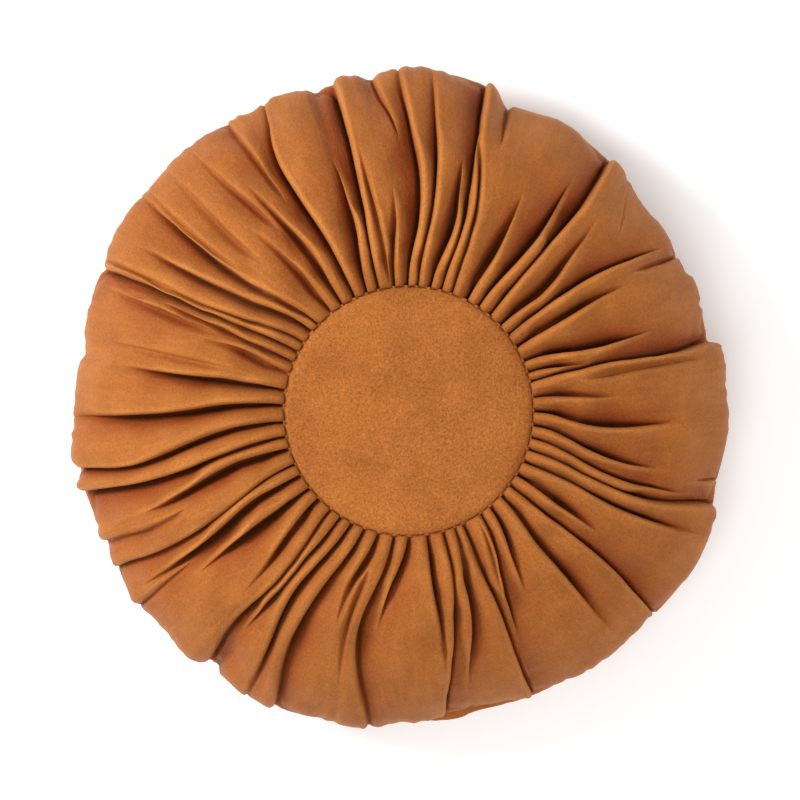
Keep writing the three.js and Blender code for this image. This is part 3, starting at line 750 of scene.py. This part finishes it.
def spread(values, places, count):
    """Values known at some places along a line of count, spread to every place."""
    every = np.arange(count)
    k = np.clip(np.searchsorted(places, every, side="right") - 1, 0, len(places) - 2)
    share = (every - places[k]) / (places[k + 1] - places[k])
    return mix(values[k], values[k + 1], share[:, None, None])


def puffed(loops, held, top, bottom):
    """The loops after their filling has pressed them outwards, by a short cloth simulation.

    It runs on a coarser cage of the same skin, held where held is 1. What the cage has moved is
    capped and carried back to the full net.
    """
    rows, columns = loops.shape[:2]
    picked_rows = np.unique([*range(0, rows, PUFF_ROWS), rows - 1])
    starts = np.arange(0, columns, columns // len(FOLD_ROWS))
    picked_columns = (starts[:, None] + PUFF_COLUMNS).ravel()
    cage = loops[picked_rows][:, picked_columns]
    piece = net_object("puff_cage", cage, top, bottom)
    group = piece.vertex_groups.new(name="held")
    weights = np.concatenate([[1], held[picked_rows][:, picked_columns].ravel(), [1]])
    for k, weight in enumerate(weights):
        group.add([k], float(weight), "REPLACE")
    cloth = piece.modifiers.new("puff", "CLOTH")
    cloth.settings.vertex_group_mass = group.name
    cloth.settings.mass = PUFF_MASS
    cloth.settings.tension_stiffness = PUFF_STIFFNESS
    cloth.settings.compression_stiffness = PUFF_STIFFNESS
    cloth.settings.shrink_min = -PUFF_GROWTH
    cloth.settings.use_pressure = True
    cloth.settings.uniform_pressure_force = PUFF_PRESSURE
    cloth.settings.effector_weights.gravity = 0.0
    cloth.collision_settings.use_collision = False
    cloth.point_cache.frame_end = PUFF_FRAMES
    for frame in range(1, PUFF_FRAMES + 1):
        bpy.context.scene.frame_set(frame)
    settled = piece.evaluated_get(bpy.context.evaluated_depsgraph_get()).to_mesh()
    after = np.empty(len(settled.vertices) * 3)
    settled.vertices.foreach_get("co", after)
    before = np.empty_like(after)
    piece.data.vertices.foreach_get("co", before)
    moved = ((after - before) / MM).reshape(-1, 3)[1:-1].reshape(cage.shape)
    bpy.data.meshes.remove(piece.data)
    bpy.context.scene.frame_set(1)

    far = np.linalg.norm(moved, axis=-1)[..., None]
    moved = moved * PUFF_MOST * np.tanh(far / PUFF_MOST) / np.maximum(far, 1e-6)
    moved = spread(moved, picked_rows, rows).swapaxes(0, 1)
    places = np.append(picked_columns, columns)
    moved = spread(np.concatenate([moved, moved[:1]]), places, columns).swapaxes(0, 1)
    for _ in range(PUFF_SMOOTHING):
        moved = (np.roll(moved, 1, axis=1) + 2 * moved + np.roll(moved, -1, axis=1)) / 4
        moved[1:-1] = (moved[:-2] + 2 * moved[1:-1] + moved[2:]) / 4
    return loops + moved


def stitch_tree():
    """Geometry Nodes that lay a running stitch along a closed seam line."""
    tree = bpy.data.node_groups.new("running stitch", "GeometryNodeTree")
    sockets = (
        ("Seam", "NodeSocketGeometry"),
        ("Pitch", "NodeSocketFloat"),
        ("Stitch Length", "NodeSocketFloat"),
        ("Thread Radius", "NodeSocketFloat"),
        ("Seed", "NodeSocketInt"),
        ("Thread", "NodeSocketMaterial"),
    )
    for name, kind in sockets:
        tree.interface.new_socket(name, in_out="INPUT", socket_type=kind)
    tree.interface.new_socket("Stitches", in_out="OUTPUT", socket_type="NodeSocketGeometry")
    sizes = add_node(tree, "NodeGroupInput").outputs
    line = add_node(tree, "GeometryNodeMeshToCurve", {"Mesh": sizes["Seam"]})
    spaced = {"Curve": line, "Length": sizes["Pitch"]}
    spaced = add_node(tree, "GeometryNodeResampleCurve", spaced, mode="LENGTH")
    balls = {"Segments": 8, "Rings": 5, "Radius": 0.5}
    ball = add_node(tree, "GeometryNodeMeshUVSphere", inputs=balls)
    thick = {0: sizes["Thread Radius"]}
    thick = add_node(tree, "ShaderNodeMath", thick, operation="MULTIPLY", inputs={1: 2.0})
    shape = {"X": sizes["Stitch Length"], "Y": thick, "Z": thick}
    shape = add_node(tree, "ShaderNodeCombineXYZ", shape)
    stitch = add_node(tree, "GeometryNodeTransform", {"Geometry": ball, "Scale": shape})
    tangent = add_node(tree, "GeometryNodeInputTangent")
    along = add_node(tree, "FunctionNodeAlignRotationToVector", {"Vector": tangent}, axis="X")
    uneven = add_node(
        tree,
        "FunctionNodeRandomValue",
        {"Seed": sizes["Seed"]},
        data_type="FLOAT_VECTOR",
        inputs={"Min": (0.9, 0.9, 0.85), "Max": (1.06, 1.1, 1.1)},
    )
    laid = {"Points": spaced, "Instance": stitch, "Rotation": along, "Scale": uneven}
    laid = add_node(tree, "GeometryNodeInstanceOnPoints", laid)
    real = add_node(tree, "GeometryNodeRealizeInstances", {"Geometry": laid})
    dyed = {"Geometry": real, "Material": sizes["Thread"]}
    dyed = add_node(tree, "GeometryNodeSetMaterial", dyed)
    add_node(tree, "NodeGroupOutput", {"Stitches": dyed})
    return tree


def stitched(name, points, tree, thread):
    """A running stitch along a closed line of points, as a plain mesh."""
    count = len(points)
    mesh = bpy.data.meshes.new(name)
    mesh.from_pydata(points.tolist(), [(k, (k + 1) % count) for k in range(count)], [])
    piece = bpy.data.objects.new(name, mesh)
    bpy.context.scene.collection.objects.link(piece)
    modifier = piece.modifiers.new("stitches", "NODES")
    modifier.node_group = tree
    values = {
        "Pitch": STITCH_PITCH * MM,
        "Stitch Length": STITCH_LENGTH * MM,
        "Thread Radius": THREAD_RADIUS * MM,
        "Seed": SEED,
        "Thread": thread,
    }
    for socket in tree.interface.items_tree:
        if socket.name in values:
            modifier[socket.identifier] = values[socket.name]
    return make_plain(piece)


def linear(hex_colour):
    """An sRGB hex colour as linear red, green, blue and full alpha."""
    values = [int(hex_colour[k : k + 2], 16) / 255 for k in (1, 3, 5)]
    curved = [v / 12.92 if v <= 0.04045 else ((v + 0.055) / 1.055) ** 2.4 for v in values]
    return (*curved, 1.0)


def add_node(tree, kind, links=(), **settings):
    """A node with its settings and inputs, linked from sockets or from nodes' first outputs."""
    node = tree.nodes.new(kind)
    for key, value in settings.items():
        if key == "inputs":
            for name, entry in value.items():
                node.inputs[name].default_value = entry
        else:
            setattr(node, key, value)
    for socket, source in dict(links).items():
        source = source.outputs[0] if isinstance(source, bpy.types.Node) else source
        tree.links.new(source, node.inputs[socket])
    return node


def velvet(name, colours, tuft_mm, tuft_contrast, drawn_out=7):
    """Short-pile polyester velvet, woven and sheared.

    Its pile is matt and dark seen end on and pale along its edges, it stands up in small tufts, and
    broad patches lean one way or another. A painted highlight pales it over the lip of a fold, and
    painted shade makes it darker and redder on the side of a fold and deep in a crease.
    """
    material = bpy.data.materials.new(name)
    material.use_nodes = True
    tree = material.node_tree
    tree.nodes.clear()
    place = add_node(tree, "ShaderNodeTexCoord").outputs["Object"]
    cloth = add_node(tree, "ShaderNodeUVMap", uv_map="cloth").outputs["UV"]
    patterns = {
        "lean": (place, 1, *LEAN_NOISE),
        "brushed": (cloth, drawn_out, *BRUSHED_NOISE) if drawn_out > 1 else (place, 1, *FLAT_NOISE),
        "tufts": (place, 1, tuft_mm, *TUFT_NOISE),
        "fluff": (place, 1, tuft_mm * FLUFF_SIZE, *FLUFF_NOISE),
    }
    spots = {}
    for part, (where, stretch, size_mm, detail, roughness, distortion) in patterns.items():
        side = 1 / (size_mm * MM)
        scale = {"Scale": (side, side / stretch, side)}
        drawn = add_node(tree, "ShaderNodeMapping", {"Vector": where}, inputs=scale)
        values = {"Scale": 1.0, "Detail": detail, "Roughness": roughness, "Distortion": distortion}
        grain = add_node(tree, "ShaderNodeTexNoise", {"Vector": drawn}, inputs=values)
        spots[part] = grain.outputs["Fac"]

    # The attribute carries painted shade deep in the folds and a painted highlight on their lips
    depth = add_node(tree, "ShaderNodeAttribute", attribute_name="painted_fold_shade_and_lip_highlight").outputs["Fac"]
    faint = tuft_contrast / 4
    ranges = {
        "lean": (spots["lean"], *NOISE_RANGE, 0, 0.55),
        "brushed": (spots["brushed"], *NOISE_RANGE, 0, 0.45),
        # lip is a painted highlight; fold and crease are painted shade, darkest deep in a crease
        "lip": (depth, -1, 0, LIP_PAINTED_HIGHLIGHT, 0),
        "fold": (depth, 0, 0.4, 0, 1),
        "crease": (depth, 0.4, 1, 0, 1),
        "tufts": (spots["tufts"], *NOISE_RANGE, 1 - tuft_contrast, 1 + tuft_contrast),
        "fluff": (spots["fluff"], *NOISE_RANGE, 1 - faint, 1 + faint),
    }
    shares = {}
    for part, (value, *limits) in ranges.items():
        values = dict(zip(RANGE_SOCKETS, limits))
        shares[part] = add_node(tree, "ShaderNodeMapRange", {"Value": value}, inputs=values)

    patches = {0: shares["lean"], 1: shares["brushed"]}
    patches = add_node(tree, "ShaderNodeMath", patches, operation="ADD")
    pile = None
    # Over the random pile patches lie the painted lip highlight and the painted fold and crease
    # shade
    layers = (
        (patches, colours.pile),
        (shares["lip"], colours.lip),
        (shares["fold"], colours.fold),
        (shares["crease"], colours.crease),
    )
    for share, colour in layers:
        links = {"Factor": share, UNDER_SOCKET: pile} if pile else {"Factor": share}
        values = {UNDER_SOCKET: (*colours.pile_shade, 1), OVER_SOCKET: (*colour, 1)}
        node = add_node(tree, "ShaderNodeMix", links, data_type="RGBA", inputs=values)
        pile = node.outputs[MIXED_SOCKET]
    lift = {0: shares["tufts"], 1: shares["fluff"]}
    lift = add_node(tree, "ShaderNodeMath", lift, operation="MULTIPLY")
    speckled = {0: pile, "Scale": lift}
    speckled = add_node(tree, "ShaderNodeVectorMath", speckled, operation="SCALE")
    grain = {"Strength": 0.6, "Distance": 0.0008}
    bump = add_node(tree, "ShaderNodeBump", {"Height": spots["tufts"]}, inputs=grain)
    shader = add_node(
        tree,
        "ShaderNodeBsdfPrincipled",
        {"Base Color": speckled, "Normal": bump},
        inputs={
            "Roughness": 0.6,
            "IOR": 1.5,
            "Specular IOR Level": 0.4,
            "Specular Tint": (*colours.sheen, 1),
            "Sheen Weight": 0.15,
            "Sheen Roughness": 0.4,
            "Sheen Tint": (*colours.sheen, 1),
        },
    )
    add_node(tree, "ShaderNodeOutputMaterial", {"Surface": shader})
    return material


def twisted_thread(colours):
    """Twisted polyester sewing thread: its plies show as fine slanting lines with a slight gloss."""
    material = bpy.data.materials.new("twisted polyester thread")
    material.use_nodes = True
    tree = material.node_tree
    tree.nodes.clear()
    place = add_node(tree, "ShaderNodeTexCoord")
    plies = add_node(
        tree,
        "ShaderNodeTexWave",
        {"Vector": place.outputs["Object"]},
        inputs={"Scale": 900.0, "Distortion": 1.5},
        bands_direction="DIAGONAL",
    )
    dark = [value * 0.5 for value in colours.thread]
    dyed = add_node(
        tree,
        "ShaderNodeMix",
        {"Factor": plies.outputs["Fac"]},
        data_type="RGBA",
        inputs={UNDER_SOCKET: (*dark, 1), OVER_SOCKET: (*colours.thread, 1)},
    )
    relief = {"Strength": 0.4, "Distance": 0.0001}
    bump = add_node(tree, "ShaderNodeBump", {"Height": plies.outputs["Fac"]}, inputs=relief)
    links = {"Base Color": dyed.outputs[MIXED_SOCKET], "Normal": bump}
    gloss = {"Roughness": 0.55, "IOR": 1.5}
    shader = add_node(tree, "ShaderNodeBsdfPrincipled", links, inputs=gloss)
    add_node(tree, "ShaderNodeOutputMaterial", {"Surface": shader})
    return material


def size_property(name, description, default):
    """A length in metres that the user can change."""
    return bpy.props.FloatProperty(
        name=name, description=description, default=default, unit="LENGTH"
    )


class PillowSizes(bpy.types.PropertyGroup):
    """Real sizes of the pillow"""

    outline_radius: size_property(
        "Outline radius", "Radius of the circle that the outline follows", 0.2026
    )
    disc_radius: size_property("Disc radius", "Radius of the seam round the centre disc", 0.0764)
    outline_offset_x: size_property(
        "Outline offset X", "How far the outline's centre lies right of the disc's", -0.0043
    )
    outline_offset_y: size_property(
        "Outline offset Y", "How far the outline's centre lies above the disc's", 0.0089
    )
    fold_depth: size_property("Fold depth", "Depth of the deepest creases", 0.0188)


def colour_property(name, description, default):
    """A colour that the user can change, from an sRGB hex value."""
    return bpy.props.FloatVectorProperty(
        name=name,
        description=description,
        default=linear(default)[:3],
        subtype="COLOR",
        size=3,
        min=0.0,
        max=1.0,
    )


class PillowColours(bpy.types.PropertyGroup):
    """Colours of the velvet, with its painted fold shade and lip highlight, and its thread"""

    pile: colour_property("Pile", "Colour of the pile where it leans to the light", "#A5632E")
    pile_shade: colour_property("Pile in shade", "Colour where the pile leans away", "#8B4E23")
    # Painted highlight: the lips of the folds are made paler to stand in for light catching them
    lip: colour_property("Fold lips", "Colour of the pile opened over the lip of a fold", "#C47C3E")
    # Painted shade on the sides of the folds
    fold: colour_property("Fold sides", "Colour of the pile on the side of a fold", "#843E1C")
    # Painted shade, darkest deep in the creases
    crease: colour_property("Creases", "Colour of the pile deep in a crease", "#54240F")
    sheen: colour_property("Sheen", "Colour of the pale edge of the pile", "#F2AC62")
    thread: colour_property("Thread", "Colour of the sewing thread", "#8A4A1E")


class PILLOW_OT_gathered_ring(bpy.types.Operator):
    """Make the gathered velvet ring with its filling"""

    bl_idname = "pillow.gathered_ring"
    bl_label = "Gathered ring"

    def execute(self, context):
        form = PillowForm(context.scene.pillow_sizes)
        depth, lips, face = form.face()
        rows = [face[:, k] for k in range(face.shape[1])]
        inner = rows[0]
        centre = np.array([0, 0, INSIDE_HEIGHT])
        edge = inner * [1, 1, 0] + centre
        floor = [mix(centre, edge, share) for share in INSIDE_SHARES]
        middle = np.array([*form.outline_offset, UNDER_HEIGHT])
        edge = rows[-1] * [1, 1, 0] + [0, 0, UNDER_EDGE_HEIGHT]
        under = [mix(middle, edge, share) for share in UNDER_SHARES]
        loops = np.array(floor + rows + under)
        blank = np.zeros((2, len(inner)))
        # Painted shade in the folds, less a painted highlight on the lips, for the velvet's colour
        shade = np.vstack([blank, (depth - lips).T, blank])
        place = np.linspace(0, 1, len(rows))[:, None]
        free = smoothstep(*PUFF_FREED, place) * (1 - smoothstep(*PUFF_HELD, place))
        held = np.vstack([blank + 1, 1 - free * (1 - depth.T), blank + 1])
        loops = puffed(loops, held, centre, middle)
        piece = net_object("velvet_gathered_ring", loops, centre, middle, shade)
        colours = context.scene.pillow_colours
        pile = velvet("sheared polyester velvet, gathered", colours, TUFT_SIZE, TUFT_CONTRAST)
        piece.data.materials.append(pile)
        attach(piece, "root")
        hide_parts("gathered_ring")
        return {"FINISHED"}


class PILLOW_OT_centre_disc(bpy.types.Operator):
    """Make the flat velvet disc in the middle of the face"""

    bl_idname = "pillow.centre_disc"
    bl_label = "Centre disc"

    def execute(self, context):
        form = PillowForm(context.scene.pillow_sizes)
        radius = form.disc_radius - DISC_INSET
        turn = np.linspace(0, math.tau, DISC_COLUMNS, endpoint=False)
        circle = np.stack([np.cos(turn), np.sin(turn), 0 * turn], axis=-1)
        loops = []
        for share in DISC_SHARES:
            rolled = max(0, (share - DISC_ROLLS_FROM) / (1 - DISC_ROLLS_FROM))
            height = DISC_TOP - DISC_FALL * share**2 - DISC_ROLL * rolled**2
            loops.append(circle * radius * share + [0, 0, height])
        for share, height in DISC_UNDER:
            loops.append(circle * radius * share + [0, 0, height])
        poles = (0, 0, DISC_TOP), (0, 0, DISC_UNDER_MIDDLE)
        piece = net_object("velvet_centre_disc", loops, *poles)
        colours = context.scene.pillow_colours
        name = "sheared polyester velvet, flat"
        pile = velvet(name, colours, TUFT_SIZE, DISC_TUFT_CONTRAST, drawn_out=1)
        piece.data.materials.append(pile)
        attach(piece, "root")
        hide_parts("centre_disc")
        return {"FINISHED"}


class PILLOW_OT_back_panel(bpy.types.Operator):
    """Make the plain velvet panel of the back"""

    bl_idname = "pillow.back_panel"
    bl_label = "Back panel"

    def execute(self, context):
        form = PillowForm(context.scene.pillow_sizes)
        centre = form.outline_offset
        loops = form.back()
        flat = [mix(np.array([*centre, 0]), loops[-1], share) for share in BACK_FLAT_SHARES]
        lifted = [loop + [0, 0, CLOTH_THICKNESS] for loop in reversed(flat)]
        loops = lifted + loops + flat
        piece = net_object("velvet_back_panel", loops, (*centre, CLOTH_THICKNESS), (*centre, 0))
        colours = context.scene.pillow_colours
        pile = velvet("sheared polyester velvet, plain", colours, TUFT_SIZE, TUFT_CONTRAST)
        piece.data.materials.append(pile)
        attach(piece, "root")
        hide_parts("back_panel")
        return {"FINISHED"}


class PILLOW_OT_seam_threads(bpy.types.Operator):
    """Sew a running stitch round the disc and round the outer seam"""

    bl_idname = "pillow.seam_threads"
    bl_label = "Seam threads"

    def execute(self, context):
        form = PillowForm(context.scene.pillow_sizes)
        tree = stitch_tree()
        thread = twisted_thread(context.scene.pillow_colours)
        angles = np.linspace(0, FULL_TURN, BACK_COLUMNS_AROUND, endpoint=False)
        turn = np.radians(angles)
        radius = form.disc_radius - DISC_SEAM_INSET
        circle = np.column_stack([np.cos(turn), np.sin(turn)]) * radius
        centre = form.outline_offset
        rim = centre + (form.rim(angles) - centre) * OUTER_SEAM_SHARE
        lines = (
            ("disc_seam_thread", circle, DISC_SEAM_HEIGHT, "disc_velvet"),
            ("outer_seam_thread", rim, OUTER_SEAM_HEIGHT, "back_velvet"),
        )
        for name, line, height, slot in lines:
            points = to_frame(np.column_stack([line, np.full(len(line), height)]))
            piece = stitched(name, points, tree, thread)
            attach(piece, "root")
        return {"FINISHED"}


class PILLOW_OT_stage(bpy.types.Operator):
    """Make the floor, the lights and the camera"""

    bl_idname = "pillow.stage"
    bl_label = "Floor, lights and camera"

    def execute(self, context):
        scene = context.scene
        mesh = bpy.data.meshes.new("studio_floor")
        half = FLOOR_HALF
        corners = [(-half, -half, 0), (half, -half, 0), (half, half, 0), (-half, half, 0)]
        mesh.from_pydata(corners, [], [(0, 1, 2, 3)])
        floor = bpy.data.objects.new("studio_floor", mesh)
        scene.collection.objects.link(floor)
        floor.location.z = -FLOOR_DROP
        # Matt coated paper has no gloss, so the floor fades evenly to white round the shadow
        material = bpy.data.materials.new("matt white paper")
        material.use_nodes = True
        shader = material.node_tree.nodes["Principled BSDF"]
        shader.inputs["Base Color"].default_value = linear("#F4F4F4")
        shader.inputs["Roughness"].default_value = 0.95
        shader.inputs["Emission Color"].default_value = (1, 1, 1, 1)
        shader.inputs["Emission Strength"].default_value = FLOOR_GLOW
        mesh.materials.append(material)

        world = bpy.data.worlds.new("soft_room")
        world.use_nodes = True
        room = world.node_tree.nodes["Background"]
        room.inputs["Color"].default_value = (1, 1, 1, 1)
        room.inputs["Strength"].default_value = ROOM_LIGHT
        scene.world = world

        for name, place, size, power in LIGHTS:
            data = bpy.data.lights.new(name, "AREA")
            data.shape = "DISK"
            data.size = size
            data.energy = power
            lamp = bpy.data.objects.new(name, data)
            lamp.location = place
            lamp.rotation_euler = (-Vector(place)).to_track_quat("-Z", "Y").to_euler()
            scene.collection.objects.link(lamp)

        view = bpy.data.cameras.new("camera")
        view.sensor_width = CAMERA_SENSOR
        view.lens = CAMERA_SENSOR * CAMERA_DISTANCE / (PHOTO_PIXELS * PHOTO_SCALE * MM)
        view.clip_end = 20
        camera = bpy.data.objects.new("camera", view)
        camera.location = CAMERA_PLACE
        scene.collection.objects.link(camera)
        scene.camera = camera
        scene.view_settings.view_transform = "Standard"
        return {"FINISHED"}


class PILLOW_PT_panel(bpy.types.Panel):
    """The pillow's sizes and pieces"""

    bl_label = "Gathered pillow"
    bl_idname = "PILLOW_PT_panel"
    bl_space_type = "VIEW_3D"
    bl_region_type = "UI"
    bl_category = "Pillow"

    def draw(self, context):
        for group in (context.scene.pillow_sizes, context.scene.pillow_colours):
            for name in group.bl_rna.properties.keys():
                if name not in {"rna_type", "name"}:
                    self.layout.prop(group, name)
        for operator in OPERATORS:
            self.layout.operator(operator.bl_idname)


OPERATORS = (
    PILLOW_OT_gathered_ring,
    PILLOW_OT_centre_disc,
    PILLOW_OT_back_panel,
    PILLOW_OT_seam_threads,
    PILLOW_OT_stage,
)
CLASSES = (PillowSizes, PillowColours, *OPERATORS, PILLOW_PT_panel)


def register():
    """Register the classes and the scene's properties."""
    for entry in CLASSES:
        bpy.utils.register_class(entry)
    bpy.types.Scene.pillow_sizes = bpy.props.PointerProperty(type=PillowSizes)
    bpy.types.Scene.pillow_colours = bpy.props.PointerProperty(type=PillowColours)


def unregister():
    """Remove the classes and the scene's properties."""
    del bpy.types.Scene.pillow_sizes
    del bpy.types.Scene.pillow_colours
    for entry in reversed(CLASSES):
        bpy.utils.unregister_class(entry)


def main():
    """Make every piece and the stage."""
    register()
    bpy.ops.pillow.gathered_ring()
    bpy.ops.pillow.centre_disc()
    bpy.ops.pillow.back_panel()
    bpy.ops.pillow.seam_threads()
    bpy.ops.pillow.stage()


if __name__ == "__main__":
    main()
